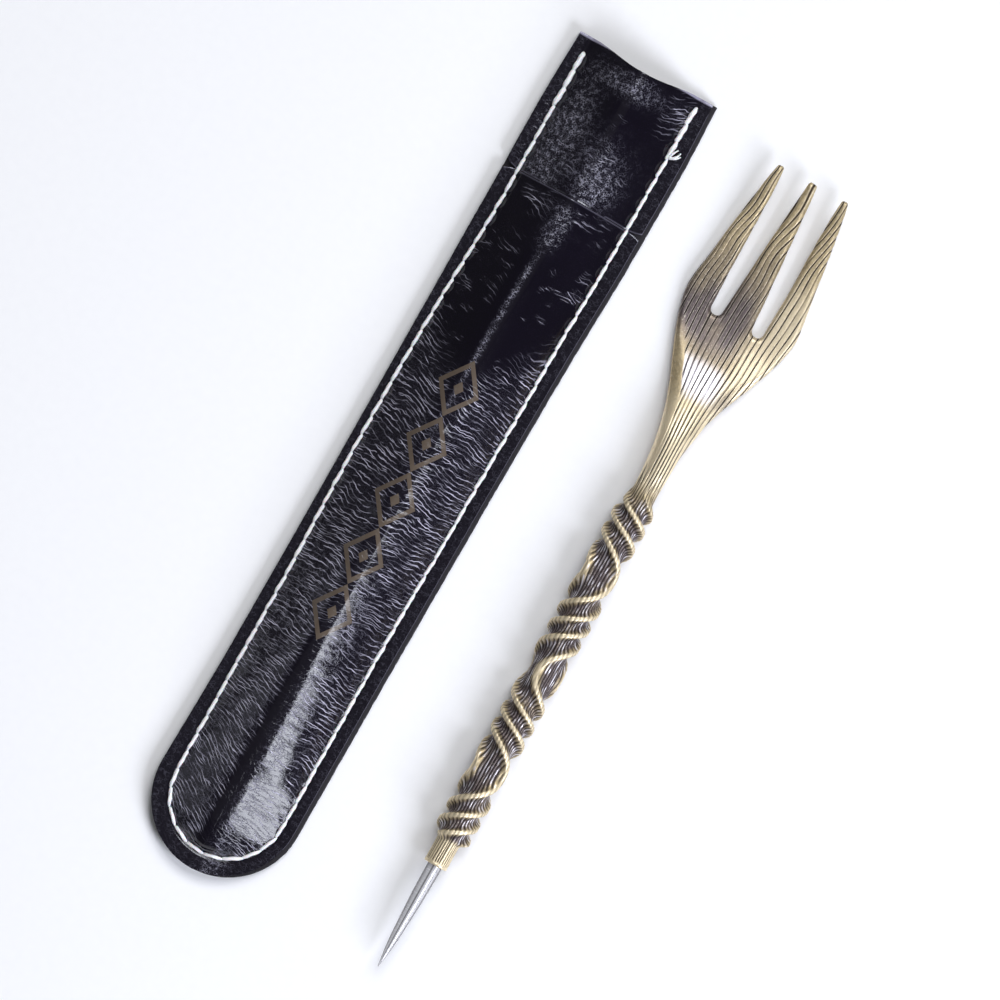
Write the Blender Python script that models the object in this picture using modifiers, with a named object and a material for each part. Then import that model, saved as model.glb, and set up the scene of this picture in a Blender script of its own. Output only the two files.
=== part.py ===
"""A small double-ended picking tool beside its leather sheath.

The tool is a one-piece casting, with a three-tined fork head, a three-rib twisted handle and a
ferrule, and a ground steel needle set in the ferrule. The sheath is a flat back, a moulded front and
a mouth band, sewn together along one U-shaped seam.

Metres, +Z up. The tool and the sheath lie side by side along Y, tines and mouth towards +Y, on the
plane Z = 0. The origin is at the middle of the bottom of the whole object's box.
"""

import math

import bmesh
import bpy

MM = 0.001

# The tool, along its length S from the tine tips.
TOOL_X = 23.14 * MM
TIP_Y = 88.3 * MM
AXIS_Z = 4.12 * MM
TOOL_LENGTH = 179.05 * MM

# Half widths of the fork head: (S, half width) in mm.
OUTLINE = ((0, 8.1), (10, 9.75), (22, 11.4), (29.5, 12.35), (34, 11.6), (38, 10.35), (43, 8.4),
           (48.5, 6.1), (54, 4.35), (62, 3.0), (70, 2.6))
TINE_INNER = ((0, 6.6), (8, 6.25), (19, 6.2), (31.2, 5.98))
MIDDLE_TINE = ((0, 0.95), (8, 1.6), (19, 2.5), (31.2, 3.42))
SLOT_X, SLOT_END_S, SLOT_RADIUS = 4.7, 31.2, 1.28
TIP_ROUNDING, TIP_ROUNDS_OVER = 0.7, 2.5

# The head leans a little to one side of the handle's axis: (S, shift) in mm.
LEAN = ((0, -0.9), (20, -0.78), (50, -0.58), (57, -0.38), (66, -0.12), (72, 0.0))

# Half thickness and height of the head's middle surface, in mm.
HALF_THICKNESS = ((0, 0.75), (8, 1.0), (34, 1.05), (42, 1.35), (50, 1.95), (58, 2.45))
MIDDLE_Z = ((0, 3.6), (16, 2.0), (33, 1.06), (42, 1.6), (50, 2.75), (58, 3.8), (66, 4.12))
EDGE_RADIUS = 1.05
COLUMN_SHARES = (0.0, 0.07, 0.25, 0.5, 0.75, 0.93, 1.0)  # across each of the head's three bands
COLUMNS = len(COLUMN_SHARES) - 1
PLATE_END_S, EVEN_COLUMNS_S, STEM_S = 33.0, 58.0, 66.0
NECK_S, NECK_END_S = 38.0, 54.0  # over which the edges' rounding grows to the whole width

# The twisted handle.
RIB_COUNT = 3
CREST_RADIUS, VALLEY_RADIUS = 4.12, 2.75
CREST_HALF_WIDTH, VALLEY_FULLNESS = 0.5, 2.3
TWIST_MIDDLE, TWIST_SWING = 82.5, 222.5
TWIST_REVERSAL_S, TWIST_HALF_WAVE = 89.3, 22.5
STEM_TWIST = -135.0
RIBS_BEGIN_S, RIBS_FULL_S, RIBS_END_S = 69.0, 76.0, 149.3
HANDLE_ROW = 1.15

# The ferrule and the needle.
FERRULE_S, FERRULE_END_S, FERRULE_RADIUS = 150.0, 155.9, 2.485
FERRULE_CHAMFER = (0.25, 0.2)  # along, in
SOCKET_RADIUS, SOCKET_BOTTOM_S = 1.85, 140.5
NEEDLE_RADIUS, NEEDLE_INNER_S = 1.55, 141.0
NEEDLE_TAPER = ((0, 1.55), (0.33, 1.37), (0.6, 1.0), (0.75, 0.74), (0.92, 0.3), (1, 0.06))  # (share shown, radius)
NEEDLE_STEPS, NEEDLE_TURN_STEPS = 12, 24
NEEDLE_INNER_CHAMFER, NEEDLE_POINT_LENGTH = 0.3, 0.02

# The sheath, along its length T from the mouth.
SEAM_MIDDLE_X = -18.36 * MM
MOUTH_Y = 92.1 * MM
SHEATH_LENGTH = 184.2
SEAM_HALF_WIDTH = ((0, 12.5), (40, 12.45), (75, 12.7), (95, 12.6), (130, 12.05), (168.4, 12.05))
SEAM_TOE_REACH, TOE_CENTRE_T = 12.1, 168.4
LEFT_EDGE = ((0, 15.1), (18, 15.55), (38, 15.5), (60, 14.85), (95, 14.5), (140, 14.8), (168.4, 15.6))
RIGHT_EDGE = ((0, 16.2), (15, 16.65), (38, 16.45), (80, 16.4), (130, 15.95), (168.4, 15.6))
BEND = ((0, 0.1), (35, 0.1), (60, -0.6), (95, -1.0), (130, -0.95), (168.4, -0.8))  # sideways shift of it all
BACK_MARGIN_SHOWING = 0.9
LEATHER, BACK_THICKNESS, LAYER_GAP = 1.1, 1.3, 0.2
FLAT_INSIDE_SEAM = 0.7
CROWN, TOE_FALL = ((0, 8.6), (100, 8.5), (128, 8.0), (160, 5.4), (184.2, 4.6)), 1.0
RIDGE_ROUNDING = 2.0
ARCHED, FLARED, TENTED = 0.35, 0.15, 0.5  # how much of each section the moulded front has
MOUTH_DIP, MOUTH_DIP_FADES_T = 1.4, 12.0
BAND_END_T, FRONT_BEGIN_T, TONGUE_END_T = 30.2, 30.6, 35.8
CORNER_CUT, CORNER_FADES_OVER = 1.0, 4.0
TONGUE_INSET, TONGUE_GAP = 3.8, 0.3
STEP_BEGINS_T, STEP_OVER_T, STEP_INSET = 36.3, 110.0, 0.8
SLOPE_OVER = 0.2  # mm that a slope is taken over
FRONT_COLUMNS = (0.0, 0.16, 0.33, 0.5, 0.66, 0.8, 0.9)  # shares of the way from the ridge to the seam

# The thread.
THREAD_RADIUS, THREAD_GAP = 0.32, 0.12
THREAD_BEGIN_T = 3.0
GROOVE_HALF_WIDTH, GROOVE_DEPTH = 0.6, 0.95


def through(points, at):
    """The value at this place on the smooth curve through (place, value) points, with no overshoot."""
    places = [p for p, _ in points]
    values = [v for _, v in points]
    if at <= places[0]:
        return values[0]
    if at >= places[-1]:
        return values[-1]
    slopes = [(values[i + 1] - values[i]) / (places[i + 1] - places[i]) for i in range(len(points) - 1)]
    tangents = [slopes[0]]
    for before, after in zip(slopes, slopes[1:]):
        tangents.append(0 if before * after <= 0 else 2 * before * after / (before + after))
    tangents.append(slopes[-1])
    i = max(k for k in range(len(points) - 1) if places[k] <= at)
    span = places[i + 1] - places[i]
    f = (at - places[i]) / span
    return (
        (2 * f**3 - 3 * f**2 + 1) * values[i]
        + (f**3 - 2 * f**2 + f) * span * tangents[i]
        + (3 * f**2 - 2 * f**3) * values[i + 1]
        + (f**3 - f**2) * span * tangents[i + 1]
    )


def ease(start, end, at):
    """0 before start, 1 after end, and a smooth step between."""
    f = min(max((at - start) / (end - start), 0.0), 1.0)
    return f * f * (3 - 2 * f)


def mix(a, b, share):
    return a + (b - a) * share


def material(name, colour, metallic, roughness):
    made = bpy.data.materials.new(name)
    made.use_nodes = True
    shader = made.node_tree.nodes["Principled BSDF"]
    shader.inputs["Base Color"].default_value = (*colour, 1)
    shader.inputs["Metallic"].default_value = metallic
    shader.inputs["Roughness"].default_value = roughness
    return made


def add_object(name, data, collection, finish):
    made = bpy.data.objects.new(name, data)
    data.materials.append(finish)
    collection.objects.link(made)
    return made


def add_mesh(name, shape, collection, finish):
    """A mesh object from a bmesh, welded, facing out and shaded smooth."""
    bmesh.ops.remove_doubles(shape, verts=shape.verts, dist=1e-6)
    bmesh.ops.recalc_face_normals(shape, faces=shape.faces)
    mesh = bpy.data.meshes.new(name)
    shape.to_mesh(mesh)
    shape.free()
    mesh.shade_smooth()
    mesh.set_sharp_from_angle(angle=math.radians(40))
    return add_object(name, mesh, collection, finish)


def skin(shape, rows):
    """Quads between rows of points, each row as long as the next."""
    for row, after in zip(rows, rows[1:]):
        for a, b, c, d in zip(row, row[1:], after[1:], after):
            corners = [shape.verts.new(p) for p in (a, b, c, d)]
            shape.faces.new(corners)


def tool_point(s, x, z):
    return (TOOL_X + (x + through(LEAN, s)) * MM, TIP_Y - s * MM, z * MM)


def band_edges(s):
    """(left, right) of the head's three bands at S, which are its tines and what they run into."""
    outer = through(OUTLINE, s)
    if s < SLOT_END_S:
        inner, middle = through(TINE_INNER, s), through(MIDDLE_TINE, s)
    else:
        open_half = math.sqrt(max(SLOT_RADIUS**2 - (s - SLOT_END_S) ** 2, 0.0))
        narrowing = outer / through(OUTLINE, SLOT_END_S + SLOT_RADIUS)
        inner = middle = SLOT_X * min(narrowing, 1.0)
        inner, middle = inner + open_half, middle - open_half
    return ((-outer, -inner), (-middle, middle), (inner, outer))


def across(band, column, s):
    """X in one band's column at S: close columns at the tines' edges, even angles around the stem."""
    left, right = band_edges(s)[band]
    plate = mix(left, right, COLUMN_SHARES[column])
    angle = math.pi * ((band * COLUMNS + column) / (3 * COLUMNS) - 0.5)
    stem = through(OUTLINE, s) * math.sin(angle)
    return mix(plate, stem, ease(PLATE_END_S, EVEN_COLUMNS_S, s))


def to_edge(x, s):
    """How far a place on the head is from the nearest free edge."""
    outer, inner, middle = through(OUTLINE, s), through(TINE_INNER, s), through(MIDDLE_TINE, s)
    found = [outer - abs(x), s]
    if s < SLOT_END_S:
        found.append(abs(x) - inner if abs(x) > SLOT_X else middle - abs(x))
    else:
        found.append(math.hypot(abs(x) - SLOT_X, s - SLOT_END_S) - SLOT_RADIUS)
    return max(min(found), 0.0)


def head_point(s, band, column, side):
    """A point of the head's upper (side 1) or lower (side -1) surface. The neck turns from a plate to a round stem."""
    x = across(band, column, s)
    outer = through(OUTLINE, s)
    rounding = mix(EDGE_RADIUS, outer, ease(NECK_S, NECK_END_S, s))
    share = min(to_edge(x, s) / rounding, 1.0)
    half_thickness = mix(through(HALF_THICKNESS, s), outer, ease(NECK_END_S, STEM_S, s))
    lift = side * half_thickness * math.sqrt(1 - (1 - share) ** 2)
    off_middle = abs(2 * COLUMN_SHARES[column] - 1)
    rounded = TIP_ROUNDING * (1 - math.sqrt(1 - off_middle**4)) * max(1 - s / TIP_ROUNDS_OVER, 0.0)
    return tool_point(s + rounded, x, through(MIDDLE_Z, s) + lift)


def head_rows():
    tines = [0, 0.3, 0.7, 1.1, 3, 7, 12, 17, 22, 26, 29.5, SLOT_END_S]
    slot_end = [SLOT_END_S + SLOT_RADIUS * math.sin(math.radians(a)) for a in (30, 60, 90)]
    shoulder = [33.8, 34.2, 34.7, 36, 38, 40.5, 43, 46, 49, 52, 55, 58.5, 62, STEM_S]
    return tines + slot_end + shoulder


def twist(s):
    """The angle of one rib, in degrees from +Z towards +X. It swings to and fro along the handle."""
    phase = math.pi * (s - TWIST_REVERSAL_S) / TWIST_HALF_WAVE
    return TWIST_MIDDLE + TWIST_SWING * math.cos(phase)


def ring(s, radius_at):
    """Points around the handle's axis at S, turning with the ribs. radius_at takes an angle from a rib."""
    count = 6 * COLUMNS
    points = []
    for k in range(count + 1):
        angle = -90 + 360 * (k % count) / count
        turned = angle - STEM_TWIST + twist(s) if s > STEM_S else angle
        radius = radius_at(angle - STEM_TWIST)
        radians = math.radians(turned)
        points.append(tool_point(s, radius * math.sin(radians), AXIS_Z / MM + radius * math.cos(radians)))
    return points


def handle_ring(s):
    ribbed = ease(RIBS_BEGIN_S, RIBS_FULL_S, s)
    stem = through(OUTLINE, s)
    valley = mix(stem, VALLEY_RADIUS, ribbed)
    crest = mix(stem, CREST_RADIUS, ribbed)

    swing = math.radians(TWIST_SWING) * math.pi / TWIST_HALF_WAVE
    turn_rate = swing * math.sin(math.pi * (s - TWIST_REVERSAL_S) / TWIST_HALF_WAVE)
    flat = math.degrees(CREST_HALF_WIDTH * math.hypot(1, CREST_RADIUS * turn_rate) / CREST_RADIUS)
    to_valley = 180 / RIB_COUNT

    def radius_at(angle):
        off_crest = abs((angle + to_valley) % (2 * to_valley) - to_valley)
        share = min(max((off_crest - flat) / (to_valley - flat), 0.0), 1.0)
        return mix(valley, crest, (1 - share) ** VALLEY_FULLNESS)

    return ring(s, radius_at)


def make_fork_casting(collection, finish):
    shape = bmesh.new()
    rows = head_rows()
    for band in range(3):
        for side in (1, -1):
            skin(shape, [[head_point(s, band, column, side) for column in range(COLUMNS + 1)] for s in rows])
    count = round((RIBS_END_S - STEM_S) / HANDLE_ROW)
    rings = [handle_ring(mix(STEM_S, RIBS_END_S, i / count)) for i in range(count + 1)]
    along, inward = FERRULE_CHAMFER
    ferrule = ((FERRULE_S, FERRULE_RADIUS), (FERRULE_END_S - along, FERRULE_RADIUS),
               (FERRULE_END_S, FERRULE_RADIUS - inward), (FERRULE_END_S, SOCKET_RADIUS),
               (SOCKET_BOTTOM_S, SOCKET_RADIUS))
    rings += [ring(s, lambda angle, radius=radius: radius) for s, radius in ferrule]
    skin(shape, rings)
    shape.faces.new([shape.verts.new(p) for p in rings[-1][:-1]])
    return add_mesh("fork_casting", shape, collection, finish)


def make_needle(collection, finish):
    """The needle, turned about its own Z and laid along -Y: a straight shank, then a convex taper to the point."""
    shown = TOOL_LENGTH / MM - FERRULE_END_S
    profile = [(0.0, TOOL_LENGTH / MM)]
    for i in range(NEEDLE_STEPS + 1):
        share = 1 - i / NEEDLE_STEPS
        profile.append((through(NEEDLE_TAPER, share), FERRULE_END_S + shown * share - NEEDLE_POINT_LENGTH))
    profile += [(NEEDLE_RADIUS, NEEDLE_INNER_S + NEEDLE_INNER_CHAMFER),
                (NEEDLE_RADIUS - NEEDLE_INNER_CHAMFER, NEEDLE_INNER_S), (0.0, NEEDLE_INNER_S)]
    mesh = bpy.data.meshes.new("needle")
    points = [(radius * MM, 0, s * MM) for radius, s in profile]
    mesh.from_pydata(points, [(i, i + 1) for i in range(len(points) - 1)], [])
    made = add_object("needle", mesh, collection, finish)
    turn = made.modifiers.new("turn", "SCREW")
    turn.steps = turn.render_steps = NEEDLE_TURN_STEPS
    turn.use_merge_vertices = True
    turn.merge_threshold = 1e-5
    turn.use_smooth_shade = True
    made.location = (TOOL_X, TIP_Y, AXIS_Z)
    made.rotation_euler = (math.radians(90), 0, 0)
    return made


def sheath_point(x, t, z):
    return (SEAM_MIDDLE_X + (x + through(BEND, t)) * MM, MOUTH_Y - t * MM, z * MM)


def seam_stations(begin_t, rows, toe_steps):
    """Places along the U of the seam, as (middle X, middle T, outward X, outward T): down the left side,
    round the toe and up the right side."""
    sides = [mix(begin_t, TOE_CENTRE_T, i / rows) for i in range(rows + 1)]
    left = [(0, t, -1, 0) for t in sides]
    toe = []
    for i in range(1, toe_steps):
        angle = math.pi * i / toe_steps
        toe.append((0, TOE_CENTRE_T, -math.cos(angle), math.sin(angle)))
    right = [(0, t, 1, 0) for t in reversed(sides)]
    return left, toe, right


def edge_reach(station):
    """How far the back's cut edge is from the middle line, outward from this station."""
    _, t, out_x, out_t = station
    side = through(RIGHT_EDGE if out_x > 0 else LEFT_EDGE, t)
    left_end, right_end = LEFT_EDGE[-1][1], RIGHT_EDGE[-1][1]
    toe = SHEATH_LENGTH - TOE_CENTRE_T
    if out_t:
        return mix(mix(left_end, right_end, (out_x + 1) / 2), toe, out_t**2)
    return side


def seam_reach(station):
    """How far the seam is from the middle line."""
    return mix(through(SEAM_HALF_WIDTH, station[1]), SEAM_TOE_REACH, station[3] ** 2)


def on_seam(station, reach, z):
    """The point this far out from the middle line at a station. The mouth's edge dips in its middle."""
    x, t, out_x, out_t = station
    dip = MOUTH_DIP * (1 - ease(1.0, seam_reach(station), reach)) * (1 - ease(0.0, MOUTH_DIP_FADES_T, t))
    return sheath_point(x + out_x * reach, t + out_t * reach + dip, z)


def crown_height(seam, aside, t, past=0.0):
    """How far the moulded front stands above its flat margin: a rounded ridge between the two seams, which
    sinks past the toe's centre."""
    within = seam - FLAT_INSIDE_SEAM
    half = math.sqrt(max(within**2 - past**2, 0.0))
    out, reach = (math.hypot(far, RIDGE_ROUNDING) - RIDGE_ROUNDING for far in (aside, half))
    u = min(out / reach, 1.0) if reach > 1e-6 else 1.0
    arch, flare, tent = (1 - u * u) ** 1.2, 0.5 * (1 + math.cos(math.pi * u)), (1 - u) ** 1.15
    section = ARCHED * arch + FLARED * flare + TENTED * tent
    return through(CROWN, t) * section * (half / within) ** TOE_FALL


def step_out(seam, reach, t):
    """The front's rise over the band's tongue, between the seams only. It is more where the crown is steep."""
    inward = ease(STEP_INSET, TONGUE_INSET - 0.6, seam - reach)
    before, after = (crown_height(seam, reach + side * SLOPE_OVER / 2, t) for side in (-1, 1))
    slope = (after - before) / SLOPE_OVER
    height = (LEATHER + TONGUE_GAP) * math.hypot(1, slope)
    return height * inward * (1 - ease(STEP_BEGINS_T, STEP_OVER_T, t))


def front_reaches(station, shown):
    """Distances from the middle line to the front's edge, closest together at the seam."""
    seam = seam_reach(station)
    inner = [seam * share for share in FRONT_COLUMNS]
    return inner + [seam - FLAT_INSIDE_SEAM, seam + FLAT_INSIDE_SEAM, edge_reach(station) - shown]


def shown_margin(station):
    """The back's margin that shows past the front: on the right, fading to nothing round the toe."""
    return BACK_MARGIN_SHOWING * max(station[2], 0.0)


def cut_corner(station, reach, join_t, way):
    """The station moved along T where the margin's corner is cut round at the join of band and front."""
    x, t, out_x, out_t = station
    seam = seam_reach(station)
    outside = max(reach - seam, 0.0) / (edge_reach(station) - seam)
    near = 1 - ease(0.0, CORNER_FADES_OVER, abs(t - join_t))
    return (x, t + way * CORNER_CUT * outside**2 * near, out_x, out_t)


def front_surface_z(station, reach, over_tongue):
    _, t, out_x, out_t = station
    seam = seam_reach(station)
    level = BACK_THICKNESS + LAYER_GAP + LEATHER
    raised = step_out(seam, reach, t) if over_tongue else 0.0
    return level + crown_height(seam, out_x * reach, t + out_t * reach, out_t * reach) + raised


def solidify(made):
    shell = made.modifiers.new("leather", "SOLIDIFY")
    shell.thickness = LEATHER * MM
    shell.offset = -1
    shell.use_even_offset = True


def make_sheath_front(collection, finish):
    left, toe, right = seam_stations(FRONT_BEGIN_T, 15, 14)
    early = [(0, t, -1, 0) for t in (FRONT_BEGIN_T, 33.0, TONGUE_END_T, 37.5)]
    left = early + left[1:]
    right = right[:-1] + [(0, t, 1, 0) for _, t, _, _ in reversed(early)]
    shape = bmesh.new()
    rows = []
    for station in left + toe + right:
        row = []
        for reach in front_reaches(station, shown_margin(station)):
            place = cut_corner(station, reach, FRONT_BEGIN_T, 1) if station[3] == 0 else station
            row.append(on_seam(place, reach, front_surface_z(station, reach, True)))
        rows.append(row)
    skin(shape, rows)
    made = add_mesh("sheath_front", shape, collection, finish)
    solidify(made)
    return made


def make_mouth_band(collection, finish):
    """The band across the mouth, with a tongue that reaches under the front between the seams."""
    times = [BAND_END_T * i / 6 for i in range(7)]
    shape = bmesh.new()
    for side in (-1, 1):
        rows, tongue = [], []
        for t in times + [33.0, TONGUE_END_T]:
            station = (0, t, side, 0)
            reaches = front_reaches(station, shown_margin(station))
            places = [cut_corner(station, reach, BAND_END_T, -1) for reach in reaches]
            row = [on_seam(place, reach, front_surface_z(station, reach, False))
                   for place, reach in zip(places, reaches)]
            if t <= BAND_END_T:
                rows.append(row)
            if t >= BAND_END_T:
                tongue.append([p for p, reach in zip(row, reaches) if reach < seam_reach(station) - TONGUE_INSET])
        skin(shape, rows)
        skin(shape, tongue)
    made = add_mesh("mouth_band", shape, collection, finish)
    solidify(made)
    return made


def make_sheath_back(collection, finish):
    """The flat back, with a groove in its underside that the thread lies in."""
    left, toe, right = seam_stations(0.0, 12, 14)
    shape = bmesh.new()
    rows = []
    for station in left + toe + right:
        edge = edge_reach(station)
        inner, outer = (seam_reach(station) + side * GROOVE_HALF_WIDTH for side in (-1, 1))
        section = [(0.0, 0.0), (inner, 0.0), (inner, GROOVE_DEPTH), (outer, GROOVE_DEPTH), (outer, 0.0),
                   (edge, 0.0), (edge, BACK_THICKNESS), (0.0, BACK_THICKNESS)]
        rows.append([on_seam(station, reach, z) for reach, z in section])
    skin(shape, rows)
    for row in (rows[0], rows[-1]):
        shape.faces.new([shape.verts.new(p) for p in row])
    return add_mesh("sheath_back", shape, collection, finish)


def make_thread(name, z, collection, finish):
    """One thread along the whole seam, a plain round wire."""
    left, toe, right = seam_stations(THREAD_BEGIN_T, 16, 12)
    curve = bpy.data.curves.new(name, "CURVE")
    curve.dimensions = "3D"
    curve.bevel_depth = THREAD_RADIUS * MM
    curve.bevel_resolution = 2
    curve.use_fill_caps = True
    stations = left + toe + right
    wire = curve.splines.new("POLY")
    wire.points.add(len(stations) - 1)
    for point, station in zip(wire.points, stations):
        point.co = (*on_seam(station, seam_reach(station), z), 1)
    return add_object(name, curve, collection, finish)


def main():
    for old in list(bpy.data.objects):
        bpy.data.objects.remove(old)
    parts = bpy.data.collections.new("picking_tool_and_sheath")
    bpy.context.scene.collection.children.link(parts)

    bronze = material("antique_brass", (0.42, 0.30, 0.19), 1.0, 0.38)
    steel = material("ground_steel", (0.62, 0.60, 0.60), 1.0, 0.22)
    leather = material("black_leather", (0.022, 0.019, 0.026), 0.0, 0.35)
    flesh_side = material("leather_flesh_side", (0.05, 0.042, 0.042), 0.0, 0.8)
    thread = material("white_thread", (0.82, 0.81, 0.80), 0.0, 0.7)

    make_fork_casting(parts, bronze)
    make_needle(parts, steel)
    make_sheath_back(parts, flesh_side)
    make_sheath_front(parts, leather)
    make_mouth_band(parts, leather)
    top = BACK_THICKNESS + LAYER_GAP + LEATHER
    make_thread("seam_thread_front", top + THREAD_GAP + THREAD_RADIUS, parts, thread)
    make_thread("seam_thread_back", THREAD_GAP + THREAD_RADIUS, parts, thread)


main()
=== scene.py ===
"""Looks for the picking tool and its sheath: antiqued brass, ground steel, crinkled leather and thread."""

import math

import bmesh
import bpy
import numpy as np
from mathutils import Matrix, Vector


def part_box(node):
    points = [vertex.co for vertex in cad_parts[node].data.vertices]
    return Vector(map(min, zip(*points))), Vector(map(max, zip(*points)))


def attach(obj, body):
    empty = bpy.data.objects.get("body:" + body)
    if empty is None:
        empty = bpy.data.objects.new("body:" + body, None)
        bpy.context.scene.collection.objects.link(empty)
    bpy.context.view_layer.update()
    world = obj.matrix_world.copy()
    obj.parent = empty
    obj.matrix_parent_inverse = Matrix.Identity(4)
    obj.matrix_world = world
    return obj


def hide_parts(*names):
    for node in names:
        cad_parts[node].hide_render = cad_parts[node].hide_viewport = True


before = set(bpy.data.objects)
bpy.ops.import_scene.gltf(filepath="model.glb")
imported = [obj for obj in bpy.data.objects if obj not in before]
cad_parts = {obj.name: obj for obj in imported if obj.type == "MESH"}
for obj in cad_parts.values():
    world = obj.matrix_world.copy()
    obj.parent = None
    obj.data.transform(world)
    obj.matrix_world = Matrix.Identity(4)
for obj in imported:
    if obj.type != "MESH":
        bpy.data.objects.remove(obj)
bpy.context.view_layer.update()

MM = 0.001
PI = math.pi

# Places taken from the frame, in metres.
needle_low, needle_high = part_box("needle")
back_low, back_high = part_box("sheath_back")
TOOL_X = (needle_low[0] + needle_high[0]) / 2
TIP_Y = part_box("fork_casting")[1][1]
AXIS_Z = (needle_low[2] + needle_high[2]) / 2
TOOL_LENGTH = (TIP_Y - needle_low[1]) / MM
MOUTH_Y = back_high[1]
SHEATH_LENGTH = (back_high[1] - back_low[1]) / MM

# The tool along its length S from the tine tips, in mm: (S, value) pairs.
OUTLINE = ((0, 8.1), (10, 9.75), (22, 11.4), (29.5, 12.35), (34, 11.6), (38, 10.35), (43, 8.4),
           (48.5, 6.1), (54, 4.35), (62, 3), (70, 2.6))
TINE_INNER = ((0, 6.6), (8, 6.25), (19, 6.2), (31.2, 5.98))
MIDDLE_TINE = ((0, 0.95), (8, 1.6), (19, 2.5), (31.2, 3.42))
SLOT_X, SLOT_END_S, SLOT_RADIUS = 4.7, 31.2, 1.28
TIP_ROUNDING, TIP_ROUNDS_OVER = 0.7, 2.5
LEAN = ((0, -0.9), (20, -0.78), (50, -0.58), (57, -0.38), (66, -0.12), (72, 0))
HALF_THICKNESS = ((0, 0.75), (8, 1), (34, 1.05), (42, 1.35), (50, 1.95), (58, 2.45))
MIDDLE_Z = ((0, 3.6), (16, 2), (33, 1.06), (42, 1.6), (50, 2.75), (58, 3.8), (66, 4.12))
PLATE_END_S, NECK_ROUND_S = 33, 58
EDGE_RADIUS, EDGE_GROWS_S, EDGE_GROWN_S, STEM_S = 1.05, 38, 54, 66
BAND_COLUMNS, TO_BORDERS = 30, 0.72
HEAD_ROW, HANDLE_ROW = 0.36, 0.26
TIP_ROWS = (0, 0.05, 0.14, 0.26, 0.42, 0.62, 0.85)
SLOT_ROW_ANGLES = (0, 12, 25, 38, 52, 70, 90)
ROWS_PAST_SLOT = (0.06, 0.15, 0.28, 0.45, 0.68)

# The head's engraved lines along S: their pitch, and how far they drift aside.
LINE_PITCH = ((0, 0.95), (14, 1.05), (30, 1.2), (40, 1.14), (48, 0.94), (56, 0.78), (66, 0.66))
LINE_DRIFT = ((0, 3.6), (8, 2.6), (16, 1.5), (26, 0.5), (36, 0), (66, 0))
LINE_BEND, LEFT_WAVE, RIGHT_WAVE, LINE_WANDER = 0.34, 15, 22, 0.8
HEAD_LINE_WIDTH, HEAD_LINE_DEPTH = 0.2, 0.07
BEVEL_EDGE = ((33, 11.5), (38, 8.3), (42, 6.2), (46, 4.6), (50, 3), (56, 2), (66, 1.5))

# The handle's engraved lines, which run along it and wander by a few degrees.
LINES_ROUND, LINE_RADIUS = 28, 3.3
LINE_SWAY, LINE_SCATTER = 5, 3
HANDLE_LINE_WIDTH, HANDLE_LINE_DEPTH = 0.18, 0.2
CAST_SWELL = 0.05

# The head's brown patina begins along a curve across X and ends at (X, S) places.
SHADE_BEGINS_S, SHADE_SAGS = 27, 0.02
SHADE_ENDS = ((-12, 38.5), (-7, 41), (-3, 43), (3, 42), (6, 40))

# The twisted handle and the ferrule.
RIB_COUNT = 3
CREST_RADIUS, VALLEY_RADIUS = 4.12, 2.75
CREST_HALF_WIDTH, VALLEY_FULLNESS = 0.48, 3.3
TWIST_MIDDLE, TWIST_SWING = 82.5, 222.5
TWIST_REVERSAL_S, TWIST_HALF_WAVE = 89.3, 22.5
RIBS_BEGIN_S, RIBS_FULL_S, RIBS_END_S = 69.5, 75.5, 149.3
FERRULE_S, FERRULE_END_S, FERRULE_RADIUS = 150.6, 155.9, 2.485
SOCKET_RADIUS, SOCKET_SHOWN = 1.62, 4
FERRULE_LIP = ((0.5, 0), (0.35, 0.03), (0.2, 0.03), (0.06, -0.04), (0, -0.16), (0, -0.45),
               (0, SOCKET_RADIUS - FERRULE_RADIUS), (SOCKET_SHOWN, SOCKET_RADIUS - FERRULE_RADIUS))

# The needle's radius by the share of its showing length. The part before 0 is in the socket.
NEEDLE_TAPER = ((0, 1.55), (0.33, 1.4), (0.52, 1.16), (0.7, 0.92), (0.79, 0.74), (0.88, 0.5),
                (0.955, 0.26), (1, 0.05))
NEEDLE_HIDDEN, NEEDLE_ROWS, NEEDLE_SIDES, NEEDLE_END = -0.45, 150, 48, 0.03


# In the functions that spread a look over a piece, bare places are X, S or T in mm, and amounts are shares.


def ease(start, end, at):
    """0 before start, 1 after end, and a smooth step between."""
    f = np.clip((at - start) / (end - start), 0, 1)
    return f * f * (3 - 2 * f)


def between(begin, full, fade, end, at):
    """0 outside begin and end, and 1 from full to fade."""
    return ease(begin, full, at) * (1 - ease(fade, end, at))


def bell(at, middle, width):
    """1 at the middle, and less and less on both sides of it."""
    return np.exp(-(((at - middle) / width) ** 2))


def mix(a, b, share):
    return a + (b - a) * share


def through(points, at):
    """Values on the smooth curve through (place, value) points, with no overshoot."""
    places = np.array([p for p, _ in points], float)
    values = np.array([v for _, v in points], float)
    slopes = np.diff(values) / np.diff(places)
    before, after = slopes[:-1], slopes[1:]
    rising = before * after > 0
    safe = np.where(rising, before + after, 1)
    inner = np.where(rising, 2 * before * after / safe, 0)
    tangents = np.concatenate([slopes[:1], inner, slopes[-1:]])
    at = np.clip(np.asarray(at, float), places[0], places[-1])
    i = np.clip(np.searchsorted(places, at, side="right") - 1, 0, len(slopes) - 1)
    span = places[i + 1] - places[i]
    f = (at - places[i]) / span
    bent = (f**3 - 2 * f**2 + f) * tangents[i] + (f**3 - f**2) * tangents[i + 1]
    return mix(values[i], values[i + 1], f * f * (3 - 2 * f)) + span * bent


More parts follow.
